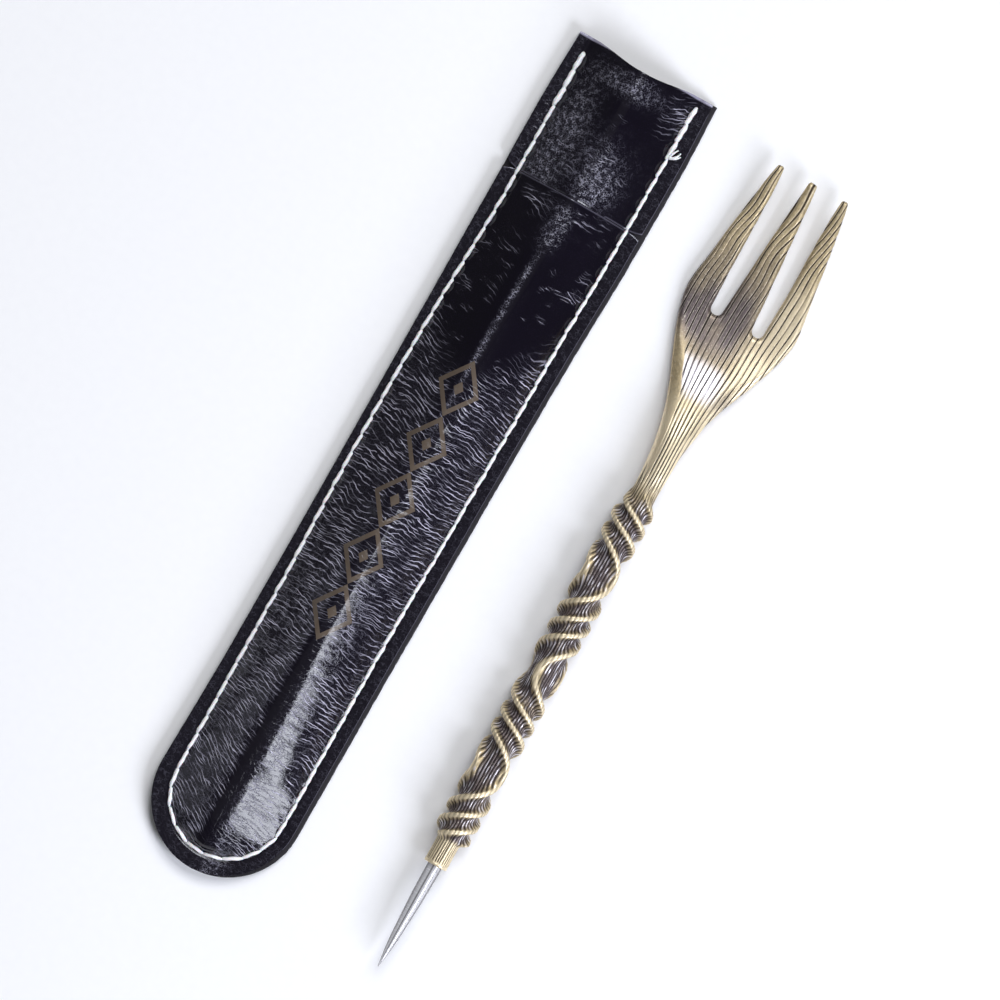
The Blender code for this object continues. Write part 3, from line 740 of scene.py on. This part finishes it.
# Along the sheath's length T from its mouth, in mm: (T, value) pairs. X is across it.
SEAM_HALF_WIDTH = ((0, 12.5), (40, 12.45), (75, 12.7), (95, 12.6), (130, 12.05), (168.4, 12.05))
SEAM_TOE_REACH, TOE_CENTRE_T, TOE_ROW_RADIUS = 12.1, 168.4, 13
LEFT_EDGE = ((0, 15.1), (18, 15.55), (38, 15.5), (60, 14.85), (95, 14.5), (140, 14.8), (168.4, 15.6))
RIGHT_EDGE = ((0, 16.2), (15, 16.65), (38, 16.45), (80, 16.4), (130, 15.95), (168.4, 15.6))
BEND = ((0, 0.1), (35, 0.1), (60, -0.6), (95, -1), (130, -0.95), (168.4, -0.8))
SEAM_MIDDLE_X = back_low[0] + (LEFT_EDGE[-1][1] - BEND[-1][1]) * MM
BACK_MARGIN_SHOWING = 0.9
LEATHER, BACK_THICKNESS, LAYER_GAP = 1.1, 1.3, 0.06
LEATHER_TOP = BACK_THICKNESS + LAYER_GAP + LEATHER
LEATHER_STEP, EDGE_ROUNDING = 0.37, 0.16
FLAT_INSIDE_SEAM, RIDGE_ROUNDING = 0.7, 3
CROWN = ((0, 8.6), (100, 8.5), (128, 8.2), (148, 7.3), (157, 6.7), (165, 5.3), (184.2, 4.6))
FLANK_BULGE = ((0, 0), (126, 0), (146, 0.5), (157, 0.5), (166, 0), (184.2, 0))
MOUTH_DIP, MOUTH_DIP_FADES_T = 1.4, 12
BAND_END_T, FRONT_BEGIN_T, TONGUE_END_T = 30.2, 30.4, 35.8
STEP_UP, STEP_SPREAD, STEP_BEGINS_T, STEP_OVER_T = 0.3, 11.5, 36.3, 110
TONGUE_INSET, TONGUE_SINKS, SINKS_OVER = 5, 1, 1.2
CORNER_CUT, CORNER_FADES_OVER = 1, 4
TRENCH_DEPTH, TRENCH_WIDTH = 0.25, 0.55
SLOW_DENT, LONG_WRINKLE, RAGGED_EDGE = 0.12, 0.06, 0.14

# The leather's rows of points beside the seam and on the margin outside it.
NEAR_SEAM_INSIDE, NEAR_SEAM_OUTSIDE, NEAR_SEAM_COUNT = 1.3, 1.1, 11
MARGIN_SHARES = (0.3, 0.6, 0.85, 0.94, 1)

# How steeply the cracks slope on each flank.
LEFT_SLOPE = ((0, 0.1), (55, 0.35), (85, 0.3), (115, 0.1), (140, 0.25), (158, 0.65), (184, 0.9))
RIGHT_SLOPE = ((0, 0.25), (30, -0.1), (45, -0.3), (57, 0.1), (64, -0.2), (76, -0.3), (92, -0.08),
               (125, 0), (140, -0.15), (184, -0.3))

# Patches of the mouth band where the grain shows as a painted sheen: (amount, X, T, half width, half
# length).
BAND_SHEEN_PATCHES = ((1, -8.3, 19, 3.2, 9.5), (1.2, 2.6, 26, 3.6, 3.8), (1.1, -1, 5, 5.5, 2),
              (0.7, -8.5, 28, 3, 3), (0.35, -1, 21, 7, 5))

# The cracks end between these distances from the middle line, just inside the seam.
CRACKS_FADE, CRACKS_END = 11.9, 12.5


class Stations:
    """Places along the U of the seam: down the left side, round the toe, up the right side."""

    def __init__(self, begin_t, end_t=TOE_CENTRE_T, sides=("left", "toe", "right"), step=LEATHER_STEP):
        down = np.linspace(begin_t, end_t, max(round((end_t - begin_t) / step), 2) + 1)
        turns = round(PI * TOE_ROW_RADIUS / step)
        turn = PI * np.arange(1, turns) / turns
        one, none = np.ones_like(down), np.zeros_like(down)
        parts = {
            "left": (down, -one, none),
            "toe": (np.full_like(turn, TOE_CENTRE_T), -np.cos(turn), np.sin(turn)),
            "right": (down[::-1], one, none),
        }
        joined = [np.concatenate(values)[:, None] for values in zip(*(parts[side] for side in sides))]
        self.t, self.out_x, self.out_t = joined
        self.seam = mix(through(SEAM_HALF_WIDTH, self.t), SEAM_TOE_REACH, self.out_t**2)
        side = np.where(self.out_x > 0, through(RIGHT_EDGE, self.t), through(LEFT_EDGE, self.t))
        self.edge = mix(side, SHEATH_LENGTH - TOE_CENTRE_T, self.out_t**2)

    def at(self, reach):
        """(x, t) of the places this far out from the middle line."""
        return self.out_x * reach, self.t + self.out_t * reach


def sheath_points(x, t, z):
    """Places on the sheath as points in metres, with the mouth's dip and the seam's slow bend."""
    x, t, z = np.broadcast_arrays(x, t, z)
    seam = through(SEAM_HALF_WIDTH, t)
    dip = MOUTH_DIP * (1 - ease(1, seam, np.abs(x))) * (1 - ease(0, MOUTH_DIP_FADES_T, t))
    across = SEAM_MIDDLE_X + (x + through(BEND, t)) * MM
    return np.stack([across, MOUTH_Y - (t + dip) * MM, z * MM], axis=-1)


def sheath_places(points):
    """(x, t) of points on the sheath, in mm."""
    t = (MOUTH_Y - points[:, 1]) / MM
    return (points[:, 0] - SEAM_MIDDLE_X) / MM - through(BEND, t), t


def crown_height(seam, aside, t, past=0):
    """How far the front stands up from its rim: a rounded ridge with straight or bulged flanks."""
    within = seam - FLAT_INSIDE_SEAM
    half = np.sqrt(np.maximum(within**2 - past**2, 0))
    out, reach = (np.hypot(far, RIDGE_ROUNDING) - RIDGE_ROUNDING for far in (aside, half))
    u = np.clip(out / np.maximum(reach, 1e-6), 0, 1)
    bulge = 4 * through(FLANK_BULGE, t) * u * (1 - u)
    return (through(CROWN, t) * (1 - u) + bulge) * half / within


def crack_flow(x, t):
    """The cracks' own coordinate in mm: they run where it is constant, sloping on both flanks."""
    slope = np.where(x < 0, through(LEFT_SLOPE, t), through(RIGHT_SLOPE, t))
    return t + slope * np.sqrt(x * x + 1.5)


def inside_seam(x, t):
    """1 inside the seam and 0 on the margin outside it."""
    return 1 - ease(CRACKS_FADE, CRACKS_END, out_from_middle(x, t))


def out_from_middle(x, t):
    """How far a place is from the sheath's middle line, or past it round the toe."""
    return np.hypot(x, np.maximum(t - TOE_CENTRE_T, 0))


def crackle_share(x, t):
    """How cracked the glaze is: well below the mouth, at the front's join, and in one corner."""
    aside = np.abs(x)
    spread = np.where(x < 0, ease(60, 72, t - 1.2 * (x + 11)), ease(62, 76, t + 1.4 * (x - 6)))
    spread *= mix(0.4, 1, ease(1, 3, aside))
    spread *= (1 - 0.7 * bell(x, 7.2, 2.6) * bell(t, 128, 9))
    spread *= (1 - 0.97 * (1 - ease(1.3, 2.4, aside)) * ease(118, 134, t))
    spread *= (1 - 0.7 * bell(x, 4.6, 3) * ease(150, 168, t))
    join = bell(t, 33.4, 2) * ease(1.8, 3, np.abs(x + 0.5)) * (1 - ease(8.6, 10.4, aside))
    join *= ease(0.4, 0.56, layered(x / 4, t / 1.3, 93, 2))
    corner = bell(t, 5.5, 3.4) * ease(6.5, 9, x)
    few = between(40, 48, 62, 74, t) * np.where(x > 0, 1, 0.5) * ease(3, 5, aside)
    few += 0.4 * between(7, 10, 24, 29, t) * (1 - ease(5, 8, np.abs(x - 1)))
    few *= ease(0.6, 0.72, layered(x / 3.4, t / 1.6, 91, 2))
    inside = inside_seam(x, t)
    return np.clip(spread + 1.1 * join + 0.9 * corner + few, 0, 1.2) * inside + 0.015 * (1 - inside)


def pebble_share(x, t):
    """How much of the grain shows as pale specks of painted sheen: in patches on the band, and along the
    crest.
    """
    patches = [amount * bell(x, x0, wide) * bell(t, t0, tall) for amount, x0, t0, wide, tall in BAND_SHEEN_PATCHES]
    band = sum(patches) * (t < BAND_END_T + 0.1)
    # Painted sheen in specks: along the crest, below the join, and right of the crest toward the toe.
    line = 1.1 * bell(x, -0.5, 0.5) * between(42, 46, 66, 96, t)
    below = 0.75 * bell(x, -0.2, 1.9) * between(31, 33, 38, 44, t)
    highlight_specks = 0.5 * bell(x, 3.6, 2.2) * ease(112, 128, t)
    flanks = ease(64, 80, t) * ease(1.6, 3, np.abs(x)) * inside_seam(x, t)
    flanks *= mix(0.08, np.where(x < 0, 0.3, 0.14), ease(108, 126, t))
    margin = 0.1 * ease(12.4, 13.2, out_from_middle(x, t))
    return np.clip(band + line + below + highlight_specks + flanks + margin, 0, 1)


def dents(x, t):
    """Slow unevenness of the moulded leather, and its longer wrinkles, in mm."""
    slow = SLOW_DENT * (layered(x / 7, t / 9, 54, 2) - 0.5)
    field = layered(x / 4, crack_flow(x, t) / 1.7, 55, 1)
    wrinkled = np.clip(crackle_share(x, t), 0, 1) + 0.3 * bell(x, 4.5, 3) * ease(120, 140, t)
    long = LONG_WRINKLE * (1 - np.abs(2 * field - 1)) ** 2 * np.clip(wrinkled, 0, 1)
    return (slow + long) * (1 - ease(11, 12.2, np.abs(x)))


def surface_of(stations, reach, raised):
    """(x, t, z) of the outer face this far from the middle. The front is raised over the band."""
    x, t = stations.at(reach)
    seam = stations.seam
    height = crown_height(seam, stations.out_x * reach, t, stations.out_t * reach)
    if raised:
        slope = (crown_height(seam, reach + 0.1, t) - crown_height(seam, reach - 0.1, t)) / 0.2
        over = STEP_UP * np.hypot(1, slope) * ease(0.8, STEP_SPREAD, seam - reach)
        height = height + over * (1 - ease(STEP_BEGINS_T, STEP_OVER_T, t))
    trench = TRENCH_DEPTH * bell(reach, seam, TRENCH_WIDTH)
    return x, t, LEATHER_TOP + height - trench + dents(x, t)


def leather_reaches(stations, shown):
    """Distances from the middle line to the cut edge, closest together at the seam."""
    seam = stations.seam
    inside = np.linspace(0, 1, round(11.2 / LEATHER_STEP) + 1)[None, :-1] * (seam - NEAR_SEAM_INSIDE)
    near = seam + np.linspace(-NEAR_SEAM_INSIDE, NEAR_SEAM_OUTSIDE, NEAR_SEAM_COUNT)[None, :]
    margin = mix(seam + NEAR_SEAM_OUTSIDE, stations.edge - shown, np.array(MARGIN_SHARES)[None, :])
    return np.concatenate([inside, near, margin], axis=1)


def make_leather(name, node, pieces, raised, finish, cut_at, cut_way, tongue=()):
    """A moulded piece of the front: its outer face, given the leather's thickness and soft edges."""
    shape = Shape()
    for stations in pieces:
        reach = leather_reaches(stations, BACK_MARGIN_SHOWING * np.maximum(stations.out_x, 0))
        x, t, z = surface_of(stations, reach, raised)
        outside = np.maximum(reach - stations.seam, 0) / (stations.edge - stations.seam)
        cut = CORNER_CUT * outside**2 * (1 - ease(0, CORNER_FADES_OVER, np.abs(stations.t - cut_at)))
        shape.grid(sheath_points(x, t + cut_way * cut * (stations.out_t == 0), z))
    for stations in tongue:
        reach = leather_reaches(stations, 0)
        reach = reach[:, : int(np.sum(reach[0] < stations.seam[0] - TONGUE_INSET))]
        x, t, z = surface_of(stations, reach, raised)
        shape.grid(sheath_points(x, t, z - TONGUE_SINKS * ease(BAND_END_T, BAND_END_T + SINKS_OVER, t)))
    made = shape.make(name)

    rims = bmesh.new()
    rims.from_mesh(made.data)
    borders = np.array([vertex.is_boundary for vertex in rims.verts])
    rims.free()
    x, t = sheath_places(points_of(made))
    # Rims with a painted highlight: the right edge, the left edge near the mouth, and the front's edge at
    # the join.
    at_join = np.abs(t - FRONT_BEGIN_T) < 0.6
    lit = ((x > 8) & (t > 2) & (t < 172)) | ((x < -8) & (t > 0.4) & (t < 6)) | at_join
    keep_values(made, rim=borders * lit * np.where(at_join, 0.5, 1))

    thicken = made.modifiers.new("thickness", "SOLIDIFY")
    thicken.thickness = LEATHER * MM
    thicken.offset = -1
    soften = made.modifiers.new("soft_edges", "BEVEL")
    soften.width = EDGE_ROUNDING * MM
    soften.segments = 2
    soften.angle_limit = math.radians(50)
    graph = bpy.context.evaluated_depsgraph_get()
    whole = bpy.data.meshes.new_from_object(made.evaluated_get(graph))
    whole.shade_smooth()
    whole.materials.clear()
    whole.materials.append(finish)
    made.modifiers.clear()
    made.data = whole

    x, t = sheath_places(points_of(made))
    relief = ease(np.where((x > 0) & (x < 4), 100, 60), 112, t) * inside_seam(x, t)
    keep_values(made, across=x, down=t, flow=crack_flow(x, t), crackle=crackle_share(x, t),
                pebble=pebble_share(x, t), relief=relief)
    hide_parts(node)
    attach(made, "sheath")


def make_sheath():
    make_leather("sheath_front_leather", "sheath_front", [Stations(FRONT_BEGIN_T)], True,
                 black_leather("black_leather", True), FRONT_BEGIN_T, 1)
    sides = ("left",), ("right",)
    band = [Stations(0, BAND_END_T, side) for side in sides]
    tongue = [Stations(BAND_END_T, TONGUE_END_T, side) for side in sides]
    make_leather("mouth_band_leather", "mouth_band", band, False,
                 black_leather("band_leather", False), BAND_END_T, -1, tongue)
    make_back()


def make_back():
    """The flat back: its flesh side shows at the cut edge, and the thread's groove is underneath."""
    stations = Stations(0, step=0.6)
    edge, seam = stations.edge, stations.seam
    section = [
        (0 * edge, 0.02), (seam * 0.5, 0.02), (seam - 1.2, 0.02), (seam - 0.62, 0.03), (seam - 0.5, 0.75),
        (seam + 0.5, 0.75), (seam + 0.62, 0.03), (edge - 0.35, 0.02), (edge - 0.05, 0.15), (edge, 0.4),
        (edge, 0.9), (edge - 0.04, 1.15), (edge - 0.3, BACK_THICKNESS), (seam, BACK_THICKNESS),
        (seam * 0.5, BACK_THICKNESS), (0 * edge, BACK_THICKNESS),
    ]
    grid = np.stack([sheath_points(*stations.at(reach), z)[:, 0] for reach, z in section], axis=1)
    shape = Shape()
    shape.grid(grid)
    half = len(section) // 2
    for row in (0, -1):
        shape.grid(np.stack([grid[row][:half], grid[row][half:][::-1]]), flip=row == 0)
    made = shape.make("sheath_back_leather")
    points = points_of(made)
    x, t = sheath_places(points)
    ragged = RAGGED_EDGE * (noise(t / 0.8, points[:, 2] / MM * 2, 61) - 0.5)
    points[:, 0] += ragged * ease(13.6, 14.2, np.abs(x)) * MM
    move_points(made, points)
    made.data.materials.append(flesh_side())
    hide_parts("sheath_back")
    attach(made, "sheath")


# -------- the stitches

STITCH_PITCH, THREAD_RADIUS = 4, 0.38
PATH_STEP, DOUBLED_LENGTH, DOUBLED_FULLER = 0.1, 12, 1.35
SEAM_BEGINS_LEFT_T, SEAM_BEGINS_RIGHT_T = 3.4, 1.9
FRONT_STITCHES_Z, BACK_STITCHES_Z = LEATHER_TOP - 0.2, 0.72
HOLE_DEPTH, STANDS_UP, LOBE_DEPTH = 0.42, 0.62, 0.13

# The thread's cut ends beside the right side's second stitch: how far each reaches, and its bend.
TAILS_T = 13.6
TAILS = ((1.7, -2, 0.5), 0.35), ((1, -2.3, 0.8), -0.15), ((2, -1.3, 0.2), 0.25)


def seam_path():
    """(x, t, length) of the seam: points from the left side round the toe to the right side."""
    stations = Stations(0, step=0.25)
    x, t = stations.at(stations.seam)
    x, t = x[:, 0], t[:, 0]
    keep = ~((x < 0) & (t < SEAM_BEGINS_LEFT_T)) & ~((x > 0) & (t < SEAM_BEGINS_RIGHT_T))
    x, t = x[keep] + through(BEND, t[keep]), t[keep]
    run = np.concatenate([[0], np.cumsum(np.hypot(np.diff(x), np.diff(t)))])
    fine = np.arange(0, run[-1], PATH_STEP)
    return np.interp(fine, run, x), np.interp(fine, run, t), run[-1]


def thread_tube(shape, centres, radius, plies=3, lay=2.2, sides=12):
    """A twisted thread along these points, in mm, as a lobed tube."""
    centres = np.asarray(centres, float)
    along = np.gradient(centres, axis=0)
    along /= np.linalg.norm(along, axis=1)[:, None]
    side = np.cross(along, [0, 0, 1])
    side /= np.linalg.norm(side, axis=1)[:, None]
    up = np.cross(side, along)
    run = np.concatenate([[0], np.cumsum(np.linalg.norm(np.diff(centres, axis=0), axis=1))])
    turn = 2 * PI * np.arange(sides + 1) / sides
    turn[-1] = turn[0]
    lobes = 1 + LOBE_DEPTH * np.cos(plies * turn[None, :] - 2 * PI * run[:, None] / lay)
    reach = np.asarray(radius, float).reshape(-1, 1) * lobes
    ring = centres[:, None, :] + reach[..., None] * (
        np.cos(turn)[None, :, None] * side[:, None, :] + np.sin(turn)[None, :, None] * up[:, None, :])
    x, y = SEAM_MIDDLE_X + ring[..., 0] * MM, MOUTH_Y - ring[..., 1] * MM
    grid = np.stack([x, y, ring[..., 2] * MM], axis=-1)
    shape.grid(grid)
    for row in (0, -1):
        middle = np.broadcast_to(grid[row].mean(axis=0), grid[row].shape)
        shape.grid(np.stack([grid[row], middle]), flip=row == 0)


def make_stitches(name, node, surface_z, way):
    """Stitches along the seam, each dipping into its holes. way is 1 on the front and -1 below."""
    x, t, length = seam_path()
    count = round(length / STITCH_PITCH)
    pitch = length / count
    shape = Shape()
    for i in range(count):
        u = np.linspace(-0.485, 0.485, 15)
        holes = np.array([i, i + 1]) * pitch / PATH_STEP
        cx = mix(*np.interp(holes, np.arange(len(x)), x), u + 0.5)
        ct = mix(*np.interp(holes, np.arange(len(t)), t), u + 0.5)
        lean = 0.32 * (hashed(i, 3, 71) - 0.5) + 0.2
        lift = np.cos(PI * u / 1.02) ** 0.55
        from_end = min(i + 0.5, count - i - 0.5) * pitch
        fuller = DOUBLED_FULLER if from_end < DOUBLED_LENGTH and way > 0 else 1
        radius = THREAD_RADIUS * (1 + 0.12 * (hashed(i, 5, 72) - 0.5)) * fuller
        plump = radius * (0.8 + 0.2 * np.cos(PI * u) ** 0.6)
        z = surface_z + way * (-HOLE_DEPTH + (HOLE_DEPTH + radius * STANDS_UP) * lift)
        thread_tube(shape, np.stack([cx + lean * u * np.sign(cx), ct, z], axis=1), plump)
    if way > 0:
        base = np.array([SEAM_HALF_WIDTH[0][1] + 0.3, TAILS_T, surface_z + 0.25])
        for tip, bend in TAILS:
            share = np.linspace(0, 1, 12)[:, None]
            line = base + share * np.array(tip) + np.sin(PI * share) * np.array([bend, bend * 0.4, 0.25])
            thread_tube(shape, line, np.linspace(0.28, 0.13, 12), plies=2, lay=1.6, sides=8)
    made = shape.make(name, weld=1e-7)
    made.data.materials.append(white_thread())
    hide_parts(node)
    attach(made, "sheath")


# -------- the stage

COOL, PLAIN = (0.87, 0.9, 1), (1, 1, 1)
STUDIO_AIR, AIR_BRIGHTNESS = (0.95, 0.96, 1, 1), 0.1

# Each light's name, place, size, brightness on a white floor, colour, and what it is aimed at.
LIGHTS = (
    ("overhead", (0, 0, 2.9), (3.4, 3.4), 0.04, PLAIN, (0, 0, 0)),
    ("behind", (0, 1.1, 1.3), (1.2, 0.7), 0.42, PLAIN, (0, 0, 0)),
    ("key_right", (0.62, -0.235, 0.5), (0.32, 0.48), 0.58, COOL, (0, -0.05, 0)),
    ("low_left", (-0.75, -0.3, 0.34), (0.5, 0.4), 0.016, COOL, (0, -0.08, 0)),
    ("neck", (0.03, 0.34, 0.95), (0.3, 0.12), 0.16, COOL, (0, 0, 0)),
)
FLOOR_SIZE, FLOOR_Z = 6, -0.0002
VIEW_WIDTH, CAMERA_DISTANCE = 0.2, 2.5
VIEW_ROLL = math.radians(29.4)
VIEW_MIDDLE = (-1.385 * MM, 2.4 * MM)
OBJECT_MIDDLE_Z = 3 * MM
SENSOR_WIDTH = 36


def make_stage():
    bpy.ops.mesh.primitive_plane_add(size=FLOOR_SIZE, location=(0, 0, FLOOR_Z))
    floor = bpy.context.active_object
    floor.name = "floor"
    floor.data.materials.append(floor_paper())


def softbox(name, place, size, brightness, colour, target):
    """A rectangular light that adds this much to a white floor's brightness at the target."""
    away = Vector(place) - Vector(target)
    lamp = bpy.data.lights.new(name, "AREA")
    lamp.shape = "RECTANGLE"
    lamp.size, lamp.size_y = size
    lamp.energy = brightness * PI**2 * away.length**3 / away.z
    lamp.color = colour
    made = linked(name, lamp)
    made.location = place
    made.rotation_euler = away.to_track_quat("Z", "Y").to_euler()


def make_lights():
    world = bpy.data.worlds.new("studio")
    bpy.context.scene.world = world
    world.use_nodes = True
    background = world.node_tree.nodes["Background"]
    background.inputs[0].default_value = STUDIO_AIR
    background.inputs[1].default_value = AIR_BRIGHTNESS
    for light in LIGHTS:
        softbox(*light)


def make_camera():
    """Straight above, with the tool and the sheath turned in the picture."""
    lens = bpy.data.cameras.new("camera")
    lens.sensor_width = SENSOR_WIDTH
    lens.lens = SENSOR_WIDTH * CAMERA_DISTANCE / VIEW_WIDTH
    camera = linked("camera", lens)
    camera.location = (*VIEW_MIDDLE, CAMERA_DISTANCE + OBJECT_MIDDLE_Z)
    camera.rotation_euler = (0, 0, VIEW_ROLL)
    bpy.context.scene.camera = camera
    bpy.context.scene.view_settings.view_transform = "Standard"


make_camera()
make_stage()
make_lights()
make_fork()
make_needle()
make_sheath()
make_stitches("stitches_front", "seam_thread_front", FRONT_STITCHES_Z, 1)
make_stitches("stitches_back", "seam_thread_back", BACK_STITCHES_Z, -1)
